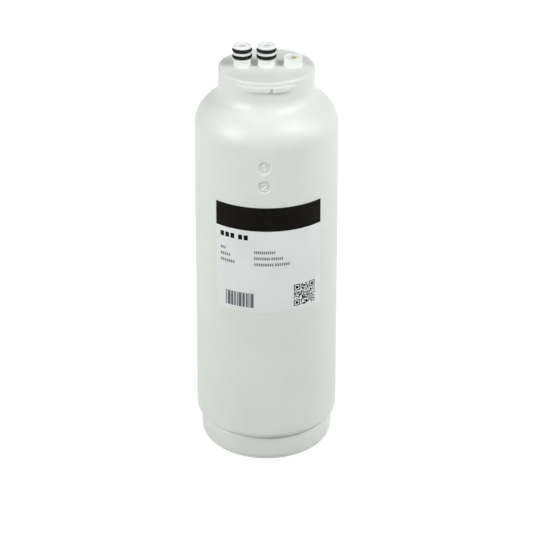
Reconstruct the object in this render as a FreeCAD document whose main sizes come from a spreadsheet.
"""Hollow fibre filter module: a moulded housing with a twist-lock neck and two O-ring spigots.

Millimetres. The origin is the middle of the base, +Z runs up the axis to the ports, and -Y is the
labelled front. The housing is one moulding with its open mouth at the bottom, and the base cap is
spin-welded into that mouth. Inside, seven tows of hollow fibre are cast into resin at both ends of
a slotted case. Water enters the left spigot, fills the housing, passes through the fibre walls and
leaves from the top ends of the tows through the collector and the middle spigot.
"""

import FreeCAD, Part
import os
import Sketcher

SIZES = {
    # Housing: outside
    "body_radius": 42.9,
    "body_taper": 1.1,
    "body_edge_round": 3.4,
    "shoulder_start": 207.4,
    "shoulder_radius": 19.6,
    "neck_radius": 27.8,
    "neck_root_round": 10.0,
    "head_height": 35.9,
    "rim_round": 0.8,
    # Housing: walls and mouth
    "wall": 3.9,
    "plate_thickness": 4.0,
    "mouth_wall": 3.9,
    "mouth_depth": 8.6,
    "mouth_seat": 0.6,
    "mouth_lip": 1.1,
    # Twist-lock lugs
    "lug_reach": 1.8,
    "lug_rim_gap": 2.4,
    "lug_height": 3.1,
    "lug_span": 72.0,
    "lug_ramp": 4.0,
    "lug_ramp_height": 2.4,
    "notch_azimuth": 5.6,
    "notch_top_width": 1.1,
    "notch_bottom_width": 2.8,
    "notch_roof": 0.7,
    # Spigots
    "inlet_offset": 13.9,
    "land_radius": 5.5,
    "shank_step": 0.4,
    "shank_height": 3.8,
    "lower_land": 0.9,
    "middle_land": 1.3,
    "tip_land": 1.6,
    "tip_chamfer": 0.5,
    "groove_depth": 1.6,
    "groove_play": 0.6,
    "ring_cord": 1.9,
    "spigot_bore_radius": 2.5,
    "bore_mouth_chamfer": 0.4,
    # Short post with the identification tag
    "post_offset": 15.1,
    "post_radius": 5.35,
    "post_height": 5.3,
    "post_chamfer": 0.25,
    "post_wall": 1.1,
    "post_recess_depth": 1.0,
    "post_core_wall": 1.95,
    "post_floor": 2.4,
    "tag_side": 2.4,
    "tag_length": 4.6,
    "tag_thickness": 0.3,
    "tag_offset": 0.7,
    # Outlet socket under the plate
    "socket_radius": 6.0,
    "socket_wall": 2.6,
    "socket_length": 17.3,
    # Base cap
    "cap_inset": 2.8,
    "cap_height": 16.7,
    "seam_gap": 0.6,
    "cap_edge_round": 6.3,
    "cap_rim_round": 0.6,
    "cap_floor": 4.0,
    "cap_inside_chamfer": 4.0,
    "foot_width": 4.6,
    "foot_height": 1.2,
    "tongue_clearance": 0.1,
    "tongue_wall": 3.0,
    "tongue_chamfer": 0.4,
    # Bottom spacer
    "spacer_clearance": 0.5,
    "spacer_ring_height": 4.0,
    "spacer_lip_wall": 2.1,
    "spacer_lip_height": 4.0,
    "case_clearance": 0.3,
    "spacer_leg_height": 14.8,
    "spacer_leg_thickness": 3.0,
    "spacer_leg_width": 5.5,
    "spacer_leg_clearance": 0.9,
    "spacer_ledge": 1.5,
    # Fibre case
    "case_wall": 2.0,
    "case_head_gap": 7.4,
    "window_width": 9.0,
    "window_margin": 29.0,
    "window_bridge": 8.0,
    # Fibre tows and potting
    "tow_gap": 1.2,
    "tow_margin": 2.2,
    "potting_height": 15.0,
    "tow_embed": 10.0,
    # Collector
    "collector_rim_height": 4.0,
    "collector_rise": 9.0,
    "collector_wall": 2.0,
    "collector_shoulder": 3.15,
    "nozzle_clearance": 0.15,
    "nozzle_groove_wall": 0.9,
    "nozzle_gap": 0.3,
    "nozzle_ring_drop": 8.0,
    "nozzle_chamfer": 0.6,
    # Label
    "label_bottom": 105.0,
    "label_height": 67.7,
    "label_thickness": 0.12,
    "label_adhesive": 0.05,
    "label_span": 90.9,
    "label_turn": 2.15,
    # Cutting tools run this far past a face
    "overshoot": 1.0,
}

WINDOW_ROW_COUNT = 3
WINDOW_COLUMN_COUNT = 8
SPACER_LEG_COUNT = 6
OUTER_TOW_COUNT = 6

# Degrees round the axis from +X, and how near a found edge has to lie to its place
FRONT = -90
HALF_TURN = 180
FULL_TURN = 360
NEAR = 0.01


class Size:
    """A length that keeps both its value and the sheet formula that gives it."""

    def __init__(self, value, formula):
        self.value = value
        self.formula = formula

    def __add__(self, other):
        other = as_size(other)
        return Size(self.value + other.value, f"({self.formula} + {other.formula})")

    def __sub__(self, other):
        other = as_size(other)
        return Size(self.value - other.value, f"({self.formula} - {other.formula})")

    def __mul__(self, other):
        other = as_size(other)
        return Size(self.value * other.value, f"({self.formula} * {other.formula})")

    def __truediv__(self, other):
        other = as_size(other)
        return Size(self.value / other.value, f"({self.formula} / {other.formula})")


class Solved(Size):
    """A coordinate that an arc settles, so the sketch only starts from its value."""


def as_size(number):
    return number if isinstance(number, Size) else Size(float(number), str(number))


def root(size):
    return Size(size.value**0.5, f"sqrt({size.formula})")


def arc_height(centre_height, radius, reach):
    """Height at which a circle about (0, centre_height) stands reach away from its axis."""
    return centre_height + root(radius * radius - reach * reach)


doc = FreeCAD.newDocument("HollowFibreModule")
sheet = doc.addObject("Spreadsheet::Sheet", "Sizes")
for row, (name, number) in enumerate(SIZES.items(), start=1):
    sheet.set(f"A{row}", name)
    sheet.set(f"B{row}", str(number))
    sheet.setAlias(f"B{row}", name)
doc.recompute()


def size(name):
    return Size(SIZES[name], f"Sizes.{name}")


def bind(target, path, length):
    target.setExpression(path, as_size(length).formula)


def new_body(name):
    body = doc.addObject("PartDesign::Body", name)
    body.Label = name
    return body


def plane_sketch(body, name, role="XZ_Plane"):
    """An empty sketch on one of the body's own origin planes."""
    sketch = body.newObject("Sketcher::SketchObject", name)
    plane = [feature for feature in body.Origin.OriginFeatures if feature.Role == role][0]
    sketch.AttachmentSupport = [(plane, "")]
    sketch.MapMode = "FlatFace"
    return sketch


def place_point(sketch, geometry, end, point, label):
    """Tie one end of a line, or an arc's centre, to its two sheet values."""
    for axis, coordinate in zip("XY", point):
        coordinate = as_size(coordinate)
        if isinstance(coordinate, Solved):
            continue
        if coordinate.value == 0:
            axis_line = -2 if axis == "X" else -1
            sketch.addConstraint(Sketcher.Constraint("PointOnObject", geometry, end, axis_line))
            continue
        ends = (-1, 1, geometry, end)
        if coordinate.value < 0:
            ends = (geometry, end, -1, 1)
            coordinate = coordinate * -1
        index = sketch.addConstraint(
            Sketcher.Constraint(f"Distance{axis}", *ends, coordinate.value)
        )
        sketch.renameConstraint(index, f"{label}_{axis.lower()}")
        bind(sketch, f"Constraints.{label}_{axis.lower()}", coordinate)


def flat(point):
    return FreeCAD.Vector(as_size(point[0]).value, as_size(point[1]).value, 0)


def outline(sketch, points, arcs=None):
    """A closed outline. arcs gives, by the number of its first point, a run's centre and sense."""
    arcs = arcs or {}
    up = FreeCAD.Vector(0, 0, 1)
    ends = []
    for number, point in enumerate(points):
        start = flat(point)
        finish = flat(points[(number + 1) % len(points)])
        if number not in arcs:
            ends.append((sketch.addGeometry(Part.LineSegment(start, finish), False), 1, 2))
            continue
        middle = flat(arcs[number][0])
        anticlockwise = arcs[number][1]
        first, last = (start, finish) if anticlockwise else (finish, start)
        circle = Part.Circle(middle, up, (start - middle).Length)
        arc = Part.ArcOfCircle(circle, circle.parameter(first), circle.parameter(last))
        geometry = sketch.addGeometry(arc, False)
        ends.append((geometry, 1, 2) if anticlockwise else (geometry, 2, 1))
    for number, (geometry, start_end, finish_end) in enumerate(ends):
        following, following_start, _ = ends[(number + 1) % len(ends)]
        sketch.addConstraint(
            Sketcher.Constraint("Coincident", geometry, finish_end, following, following_start)
        )
        place_point(sketch, geometry, start_end, points[number], f"p{number}")
        if number in arcs:
            place_point(sketch, geometry, 3, arcs[number][0], f"c{number}")


def turned(body, name, points, arcs=None, offset=None, cut=False):
    """Turn an outline of (radius, height) points about the body's Z, or about an axis at X offset."""
    sketch = plane_sketch(body, f"{name}Outline")
    outline(sketch, points, arcs)
    if offset is not None:
        sketch.AttachmentOffset = FreeCAD.Placement(
            FreeCAD.Vector(offset.value, 0, 0), FreeCAD.Rotation()
        )
        bind(sketch, "AttachmentOffset.Base.x", offset)
    feature = body.newObject("PartDesign::Groove" if cut else "PartDesign::Revolution", name)
    feature.Profile = sketch
    feature.ReferenceAxis = (sketch, ["V_Axis"])
    feature.Angle = FULL_TURN
    sketch.Visibility = False
    doc.recompute()
    return feature


def ring_edges(shape, radius, height):
    """Names of the full circles of one radius and height about the Z axis."""
    found = []
    for number, edge in enumerate(shape.Edges, start=1):
        curve = edge.Curve
        if not isinstance(curve, Part.Circle):
            continue
        near = abs(curve.Radius - radius) < NEAR and abs(curve.Center.z - height) < NEAR
        if near and abs(curve.Center.x) < NEAR and abs(curve.Center.y) < NEAR:
            found.append(f"Edge{number}")
    return found


def rounded(body, name, radius, height, round_radius):
    """Round the circular edge at one radius and height."""
    base = body.Tip
    fillet = body.newObject("PartDesign::Fillet", name)
    fillet.Base = (base, ring_edges(base.Shape, as_size(radius).value, as_size(height).value))
    fillet.Radius = round_radius.value
    bind(fillet, "Radius", round_radius)
    doc.recompute()
    return fillet


# Heights that several pieces share
lip_bottom = size("cap_height") + size("seam_gap")
body_bottom = lip_bottom + size("mouth_lip")
wall_bottom = body_bottom + size("body_edge_round")
mouth_top = body_bottom + size("mouth_depth")
rim_height = size("shoulder_start") + size("head_height")
plate_under = rim_height - size("plate_thickness")
cap_floor_top = size("foot_height") + size("cap_floor")
spacer_ring_bottom = cap_floor_top + size("spacer_leg_height")
case_bottom = spacer_ring_bottom + size("spacer_ring_height")
case_top = size("shoulder_start") - size("case_head_gap")

# Radii that several pieces share
body_top_radius = size("body_radius") - size("body_taper")
cap_radius = size("body_radius") - size("cap_inset")
mouth_radius = size("body_radius") - size("mouth_wall")
tongue_radius = mouth_radius - size("tongue_clearance")
tongue_inner = tongue_radius - size("tongue_wall")
cap_floor_radius = tongue_inner - size("cap_inside_chamfer")
spacer_radius = tongue_inner - size("spacer_clearance")
spacer_lip_radius = spacer_radius - size("spacer_lip_wall")
case_radius = spacer_lip_radius - size("case_clearance")
case_inner = case_radius - size("case_wall")

# Six tows round one fill the case, all of one radius
tow_radius = (case_inner - size("tow_gap") - size("tow_margin")) / 3
tow_pitch = tow_radius * 2 + size("tow_gap")

# O-ring grooves
groove_width = size("ring_cord") + size("groove_play")
half_groove = groove_width / 2
groove_radius = size("land_radius") - size("groove_depth")
ring_spacing = groove_width + size("middle_land")
land_bottom = rim_height + size("shank_height")
lower_ring_height = land_bottom + size("lower_land") + half_groove
upper_ring_height = lower_ring_height + ring_spacing

# Draft of the body's wall: the loss of radius for each millimetre of height
draft = size("body_taper") / (size("shoulder_start") - wall_bottom)


def housing_shell(body):
    """Body, shoulder, neck and port plate as one drafted shell, open at the bottom.

    The body's lower edge is an arc that runs onto a short lip, as wide as the base cap. The root
    of the neck is rounded inside and outside about one centre, so the wall stays even.
    """
    start = size("shoulder_start")
    shoulder_axis = body_top_radius - size("shoulder_radius")
    neck_inner = size("neck_radius") - size("wall")
    inner_radius = size("shoulder_radius") - size("wall")
    shoulder = (shoulder_axis, start)
    edge_round = size("body_edge_round")
    lip_reach = edge_round - size("cap_inset")
    edge = (size("body_radius") - edge_round, wall_bottom)
    edge_foot = wall_bottom - root(edge_round * edge_round - lip_reach * lip_reach)
    neck_root = arc_height(start, size("shoulder_radius"), size("neck_radius") - shoulder_axis)
    neck_root_inner = arc_height(start, inner_radius, neck_inner - shoulder_axis)
    points = [
        (mouth_radius, lip_bottom),
        (cap_radius, lip_bottom),
        (cap_radius, Solved(edge_foot.value, edge_foot.formula)),
        (size("body_radius"), wall_bottom),
        (body_top_radius, start),
        (size("neck_radius"), Solved(neck_root.value, neck_root.formula)),
        (size("neck_radius"), rim_height),
        (0, rim_height),
        (0, plate_under),
        (neck_inner, plate_under),
        (neck_inner, Solved(neck_root_inner.value, neck_root_inner.formula)),
        (body_top_radius - size("wall"), start),
        (mouth_radius - size("mouth_seat"), mouth_top),
        (mouth_radius, mouth_top),
    ]
    arcs = {2: (edge, True), 4: (shoulder, True), 10: (shoulder, False)}
    turned(body, "Shell", points, arcs)
    root_round = size("neck_root_round")
    rounded(body, "NeckRoot", size("neck_radius"), neck_root, root_round)
    rounded(body, "NeckRootInside", neck_inner, neck_root_inner, root_round + size("wall"))
    rounded(body, "Rim", size("neck_radius"), rim_height, size("rim_round"))


def gland_spigot(body, name, offset):
    """A spigot on the plate with two O-ring grooves, bored down through the plate."""
    lands = size("land_radius")
    shank = lands - size("shank_step")
    floor = groove_radius
    low = lower_ring_height
    high = upper_ring_height
    top = high + half_groove + size("tip_land")
    points = [
        (0, plate_under),
        (shank, plate_under),
        (shank, land_bottom),
        (lands, land_bottom),
        (lands, low - half_groove),
        (floor, low - half_groove),
        (floor, low + half_groove),
        (lands, low + half_groove),
        (lands, high - half_groove),
        (floor, high - half_groove),
        (floor, high + half_groove),
        (lands, high + half_groove),
        (lands, top - size("tip_chamfer")),
        (lands - size("tip_chamfer"), top),
        (0, top),
    ]
    turned(body, f"{name}Spigot", points, offset=offset)
    over = size("overshoot")
    bore = size("spigot_bore_radius")
    mouth = bore + size("bore_mouth_chamfer")
    hole = [
        (0, plate_under - over),
        (bore, plate_under - over),
        (bore, top - size("bore_mouth_chamfer")),
        (mouth, top),
        (mouth, top + over),
        (0, top + over),
    ]
    turned(body, f"{name}Bore", hole, offset=offset, cut=True)


def outlet_socket(body):
    """The tube under the plate that takes the collector's nozzle."""
    inner = size("socket_radius")
    outer = inner + size("socket_wall")
    bottom = plate_under - size("socket_length")
    rooted = plate_under + size("overshoot")
    points = [(inner, bottom), (outer, bottom), (outer, rooted), (inner, rooted)]
    turned(body, "Socket", points)


def tag_post(body):
    """The short post, with a shallow tray on top and cored out from below."""
    offset = size("post_offset")
    radius = size("post_radius")
    top = rim_height + size("post_height")
    over = size("overshoot")
    floor = top - size("post_recess_depth")
    post = [
        (0, plate_under),
        (radius, plate_under),
        (radius, top - size("post_chamfer")),
        (radius - size("post_chamfer"), top),
        (0, top),
    ]
    turned(body, "TagPost", post, offset=offset)
    tray_radius = radius - size("post_wall")
    tray = [(0, floor), (tray_radius, floor), (tray_radius, top + over), (0, top + over)]
    turned(body, "TagTray", tray, offset=offset, cut=True)
    core_top = floor - size("post_floor")
    core_radius = radius - size("post_core_wall")
    core = [
        (0, plate_under - over),
        (core_radius, plate_under - over),
        (core_radius, core_top),
        (0, core_top),
    ]
    turned(body, "TagPostCore", core, offset=offset, cut=True)


def lug_end_edges(shape, radius, bottom):
    """Names of the straight lower edges at the two ends of each lug."""
    found = []
    for number, edge in enumerate(shape.Edges, start=1):
        if not isinstance(edge.Curve, Part.Line) or len(edge.Vertexes) < 2:
            continue
        ends = [vertex.Point for vertex in edge.Vertexes]
        level = all(abs(end.z - bottom.value) < NEAR for end in ends)
        reach = max(FreeCAD.Vector(end.x, end.y, 0).Length for end in ends)
        if level and abs(reach - radius.value) < NEAR:
            found.append(f"Edge{number}")
    return found


def lugs(body):
    """Two lugs opposite each other, with ramped lower ends and a V-notch that opens downwards."""
    upright = FreeCAD.Vector(0, 1, 0)
    inside = size("neck_radius") - size("overshoot")
    outside = size("neck_radius") + size("lug_reach")
    top = rim_height - size("lug_rim_gap")
    bottom = top - size("lug_height")
    section = [(inside, bottom), (outside, bottom), (outside, top), (inside, top)]
    sides = {"Front": 0, "Back": HALF_TURN}
    for side, azimuth in sides.items():
        sketch = plane_sketch(body, f"{side}LugSection")
        outline(sketch, section)
        turn = FreeCAD.Rotation(upright, FRONT + azimuth)
        sketch.AttachmentOffset = FreeCAD.Placement(FreeCAD.Vector(), turn)
        lug = body.newObject("PartDesign::Revolution", f"{side}Lug")
        lug.Profile = sketch
        lug.ReferenceAxis = (sketch, ["V_Axis"])
        lug.Midplane = True
        lug.Angle = SIZES["lug_span"]
        bind(lug, "Angle", size("lug_span"))
        doc.recompute()
    base = body.Tip
    ramp = body.newObject("PartDesign::Chamfer", "LugRamps")
    ramp.Base = (base, lug_end_edges(base.Shape, outside, bottom))
    ramp.ChamferType = "Two distances"
    ramp.Size = SIZES["lug_ramp"]
    ramp.Size2 = SIZES["lug_ramp_height"]
    bind(ramp, "Size", size("lug_ramp"))
    bind(ramp, "Size2", size("lug_ramp_height"))
    doc.recompute()
    for side, azimuth in sides.items():
        notch(body, side, azimuth, bottom, top)


def notch(body, side, azimuth, bottom, top):
    """One lug's V-notch, cut outwards from the plane that touches the neck."""
    over = size("overshoot")
    roof = top - size("notch_roof")
    span = size("lug_height") - size("notch_roof")
    flare = (size("notch_bottom_width") - size("notch_top_width")) / span / 2
    wide = size("notch_bottom_width") / 2 + flare * over
    narrow = size("notch_top_width") / 2
    sketch = plane_sketch(body, f"{side}NotchOutline")
    vee = [
        (wide * -1, bottom - over),
        (wide, bottom - over),
        (narrow, roof),
        (narrow * -1, roof),
    ]
    outline(sketch, vee)
    turn = FreeCAD.Rotation(FreeCAD.Vector(0, 1, 0), SIZES["notch_azimuth"] + azimuth)
    away = turn.multVec(FreeCAD.Vector(0, 0, SIZES["neck_radius"]))
    sketch.AttachmentOffset = FreeCAD.Placement(away, turn)
    angle = size("notch_azimuth") + azimuth
    bind(sketch, "AttachmentOffset.Rotation.Angle", angle)
    touch = size("neck_radius").formula
    sketch.setExpression("AttachmentOffset.Base.x", f"{touch} * sin({angle.formula} * 1 deg)")
    sketch.setExpression("AttachmentOffset.Base.z", f"{touch} * cos({angle.formula} * 1 deg)")
    cut = body.newObject("PartDesign::Pocket", f"{side}Notch")
    cut.Profile = sketch
    cut.Reversed = True
    cut.Length = SIZES["wall"]
    bind(cut, "Length", size("wall"))
    doc.recompute()


def make_housing():
    body = new_body("housing")
    housing_shell(body)
    outlet_socket(body)
    gland_spigot(body, "Inlet", size("inlet_offset") * -1)
    gland_spigot(body, "Outlet", as_size(0))
    tag_post(body)
    lugs(body)
    return body


def make_o_ring(name, offset, height):
    """An O-ring that lies on its groove's floor."""
    cord = size("ring_cord")
    return torus(name, offset, height, groove_radius + cord / 2, cord / 2)


def torus(name, offset, height, middle_radius, cord_radius):
    ring = doc.addObject("Part::Torus", name)
    ring.Label = name
    bind(ring, "Radius1", middle_radius)
    bind(ring, "Radius2", cord_radius)
    bind(ring, "Placement.Base.x", offset)
    bind(ring, "Placement.Base.z", height)
    return ring


def make_base_cap():
    """The cap: a rounded dish with a standing foot ring and a tongue that seats in the mouth."""
    body = new_body("base_cap")
    foot_inner = cap_radius - size("cap_edge_round") - size("foot_width")
    floor = cap_floor_top
    chamfer = size("tongue_chamfer")
    points = [
        (0, size("foot_height")),
        (foot_inner - size("foot_height"), size("foot_height")),
        (foot_inner, 0),
        (cap_radius, 0),
        (cap_radius, size("cap_height")),
        (tongue_radius, size("cap_height")),
        (tongue_radius, mouth_top - chamfer),
        (tongue_radius - chamfer, mouth_top),
        (tongue_inner, mouth_top),
        (tongue_inner, floor + size("cap_inside_chamfer")),
        (cap_floor_radius, floor),
        (0, floor),
    ]
    turned(body, "Dish", points)
    rounded(body, "CapEdge", cap_radius, 0, size("cap_edge_round"))
    rounded(body, "CapRim", cap_radius, size("cap_height"), size("cap_rim_round"))
    return body


def make_bottom_spacer():
    """A ring on six legs that centres the fibre case over the cap."""
    body = new_body("bottom_spacer")
    leg_outer = cap_floor_radius - size("spacer_leg_clearance")
    leg_inner = leg_outer - size("spacer_leg_width")
    outer = spacer_radius
    inner = leg_inner - size("spacer_ledge")
    lip = spacer_lip_radius
    ring_bottom = spacer_ring_bottom
    lip_top = case_bottom + size("spacer_lip_height")
    points = [
        (inner, ring_bottom),
        (outer, ring_bottom),
        (outer, lip_top),
        (lip, lip_top),
        (lip, case_bottom),
        (inner, case_bottom),
    ]
    turned(body, "Ring", points)
    floor = cap_floor_top
    leg_top = ring_bottom + size("spacer_ring_height") / 2
    sketch = plane_sketch(body, "LegOutline")
    leg = [(leg_inner, floor), (leg_outer, floor), (leg_outer, leg_top), (leg_inner, leg_top)]
    outline(sketch, leg)
    pad = body.newObject("PartDesign::Pad", "Leg")
    pad.Profile = sketch
    pad.Midplane = True
    bind(pad, "Length", size("spacer_leg_thickness"))
    doc.recompute()
    around(body, "Legs", [pad], SPACER_LEG_COUNT)
    return body


def around(body, name, originals, count):
    """Repeat features evenly about the body's Z axis."""
    pattern = body.newObject("PartDesign::PolarPattern", name)
    pattern.Originals = originals
    axis = [feature for feature in body.Origin.OriginFeatures if feature.Role == "Z_Axis"][0]
    pattern.Axis = (axis, [""])
    pattern.Angle = FULL_TURN
    pattern.Occurrences = count
    body.Tip = pattern
    doc.recompute()
    return pattern


def make_fibre_case():
    """The tube round the tows, with rows of windows that let the feed water in."""
    body = new_body("fibre_case")
    outer = case_radius
    inner = case_inner
    points = [(inner, case_bottom), (outer, case_bottom), (outer, case_top), (inner, case_top)]
    turned(body, "Tube", points)
    bridges = size("window_bridge") * (WINDOW_ROW_COUNT - 1)
    room = case_top - case_bottom - size("window_margin") * 2 - bridges
    window_height = room / WINDOW_ROW_COUNT
    windows = []
    for number in range(WINDOW_ROW_COUNT):
        rise = (window_height + size("window_bridge")) * number
        bottom = case_bottom + size("window_margin") + rise
        sketch = plane_sketch(body, f"WindowOutline{number + 1}", "YZ_Plane")
        half = size("window_width") / 2
        top = bottom + window_height
        outline(sketch, [(half * -1, bottom), (half, bottom), (half, top), (half * -1, top)])
        pocket = body.newObject("PartDesign::Pocket", f"Window{number + 1}")
        pocket.Profile = sketch
        pocket.Reversed = True
        bind(pocket, "Length", outer + size("overshoot"))
        doc.recompute()
        windows.append(pocket)
    around(body, "Windows", windows, WINDOW_COLUMN_COUNT)
    return body


def tow_places():
    """Plan places of the tows: one in the middle and a ring of six."""
    places = [(as_size(0), as_size(0))]
    for number in range(OUTER_TOW_COUNT):
        degrees = number * FULL_TURN / OUTER_TOW_COUNT
        turn = FreeCAD.Rotation(FreeCAD.Vector(0, 0, 1), degrees)
        spot = turn.multVec(FreeCAD.Vector(tow_pitch.value, 0, 0))
        across = Size(spot.x, f"{tow_pitch.formula} * cos({degrees} * 1 deg)")
        along = Size(spot.y, f"{tow_pitch.formula} * sin({degrees} * 1 deg)")
        places.append((across, along))
    return places


def make_tow(name, place, low, high):
    """A straight rod that stands for one tow, or for the hole that the resin leaves round it."""
    tow = doc.addObject("Part::Cylinder", name)
    tow.Label = name
    bind(tow, "Radius", tow_radius)
    bind(tow, "Height", high - low)
    bind(tow, "Placement.Base.x", place[0])
    bind(tow, "Placement.Base.y", place[1])
    bind(tow, "Placement.Base.z", low)
    return tow


def make_potting(name, low, high, tow_low, tow_high):
    """A disc of resin cast round the ends of all the tows."""
    disc = doc.addObject("Part::Cylinder", f"{name}_disc")
    bind(disc, "Radius", case_inner)
    bind(disc, "Height", high - low)
    bind(disc, "Placement.Base.z", low)
    holes = doc.addObject("Part::MultiFuse", f"{name}_holes")
    holes.Shapes = [
        make_tow(f"{name}_hole_{number}", place, tow_low, tow_high)
        for number, place in enumerate(tow_places(), start=1)
    ]
    potting = doc.addObject("Part::Cut", name)
    potting.Label = name
    potting.Base = disc
    potting.Tool = holes
    doc.recompute()
    return potting


def make_collector_cap():
    """A dished cover over the open tow ends, with a sealed nozzle up the middle."""
    body = new_body("collector_cap")
    outer = case_radius
    inner = case_inner
    cone_bottom = case_top + size("collector_rim_height")
    cone_top = cone_bottom + size("collector_rise")
    nozzle = size("socket_radius") - size("nozzle_clearance")
    floor = size("socket_radius") - size("ring_cord")
    bore = floor - size("nozzle_groove_wall")
    tip = plate_under - size("nozzle_gap")
    ring = tip - size("nozzle_ring_drop")
    chamfer = size("nozzle_chamfer")
    points = [
        (inner, case_top),
        (outer, case_top),
        (outer, cone_bottom),
        (nozzle + size("collector_shoulder"), cone_top),
        (nozzle, cone_top),
        (nozzle, ring - half_groove),
        (floor, ring - half_groove),
        (floor, ring + half_groove),
        (nozzle, ring + half_groove),
        (nozzle, tip - chamfer),
        (nozzle - chamfer, tip),
        (bore, tip),
        (bore, cone_top - size("collector_wall")),
        (inner, cone_bottom - size("collector_wall")),
    ]
    turned(body, "Cover", points)
    return body


def make_collector_o_ring():
    """The seal between the nozzle and the housing's outlet socket."""
    cord = size("ring_cord")
    height = plate_under - size("nozzle_gap") - size("nozzle_ring_drop")
    return torus("collector_o_ring", as_size(0), height, size("socket_radius") - cord / 2, cord / 2)


def make_label():
    """The printed film on its adhesive, wrapped on the drafted wall a little right of the front."""
    body = new_body("label")
    low = size("label_bottom")
    high = low + size("label_height")
    glued = size("body_radius") + size("label_adhesive")
    low_radius = glued - draft * (low - wall_bottom)
    high_radius = glued - draft * (high - wall_bottom)
    film = size("label_thickness")
    sketch = plane_sketch(body, "FilmSection")
    outline(
        sketch,
        [(low_radius, low), (low_radius + film, low), (high_radius + film, high), (high_radius, high)],
    )
    turn = FreeCAD.Rotation(FreeCAD.Vector(0, 1, 0), SIZES["label_turn"] + FRONT)
    sketch.AttachmentOffset = FreeCAD.Placement(FreeCAD.Vector(), turn)
    bind(sketch, "AttachmentOffset.Rotation.Angle", size("label_turn") + FRONT)
    wrap = body.newObject("PartDesign::Revolution", "Film")
    wrap.Profile = sketch
    wrap.ReferenceAxis = (sketch, ["V_Axis"])
    wrap.Midplane = True
    wrap.Angle = SIZES["label_span"]
    bind(wrap, "Angle", size("label_span"))
    doc.recompute()
    return body


def make_id_tag():
    """The small oblong tag that lies in the short post's tray."""
    side = size("tag_side")
    length = size("tag_length")
    tag = doc.addObject("Part::Box", "id_tag")
    tag.Label = "id_tag"
    bind(tag, "Length", side)
    bind(tag, "Width", length)
    bind(tag, "Height", size("tag_thickness"))
    bind(tag, "Placement.Base.x", size("post_offset") + size("tag_offset") - side / 2)
    bind(tag, "Placement.Base.y", length / -2)
    bind(tag, "Placement.Base.z", rim_height + size("post_height") - size("post_recess_depth"))
    return tag


pieces = [make_housing(), make_base_cap()]
for port, port_offset in (("inlet", size("inlet_offset") * -1), ("outlet", as_size(0))):
    pieces.append(make_o_ring(f"{port}_o_ring_upper", port_offset, upper_ring_height))
    pieces.append(make_o_ring(f"{port}_o_ring_lower", port_offset, lower_ring_height))
pieces += [make_label(), make_id_tag(), make_bottom_spacer(), make_fibre_case()]

resin_top = case_bottom + size("potting_height")
resin_bottom = case_top - size("potting_height")
tow_bottom = resin_top - size("tow_embed")
over_top = case_top + size("overshoot")
pieces.append(make_potting("potting_top", resin_bottom, case_top, tow_bottom, over_top))
pieces.append(make_potting("potting_bottom", case_bottom, resin_top, tow_bottom, over_top))
for tow_number, tow_place in enumerate(tow_places(), start=1):
    pieces.append(make_tow(f"fibre_tow_{tow_number}", tow_place, tow_bottom, case_top))
pieces += [make_collector_cap(), make_collector_o_ring()]

doc.recompute()
for member in doc.Objects:
    if "Invalid" in member.State or "Error" in member.State:
        raise RuntimeError(f"{member.Name} did not rebuild: {member.State}")
for piece in pieces:
    if piece.Shape.isNull() or not piece.Shape.isValid() or len(piece.Shape.Solids) != 1:
        raise RuntimeError(f"{piece.Label} is not one sound solid")

os.makedirs("parts", exist_ok=True)
for piece in pieces:
    piece.Shape.exportStep(f"parts/{piece.Label}.step")
    print(f"{piece.Label}: {piece.Shape.Volume / 1000:.2f} cm3")
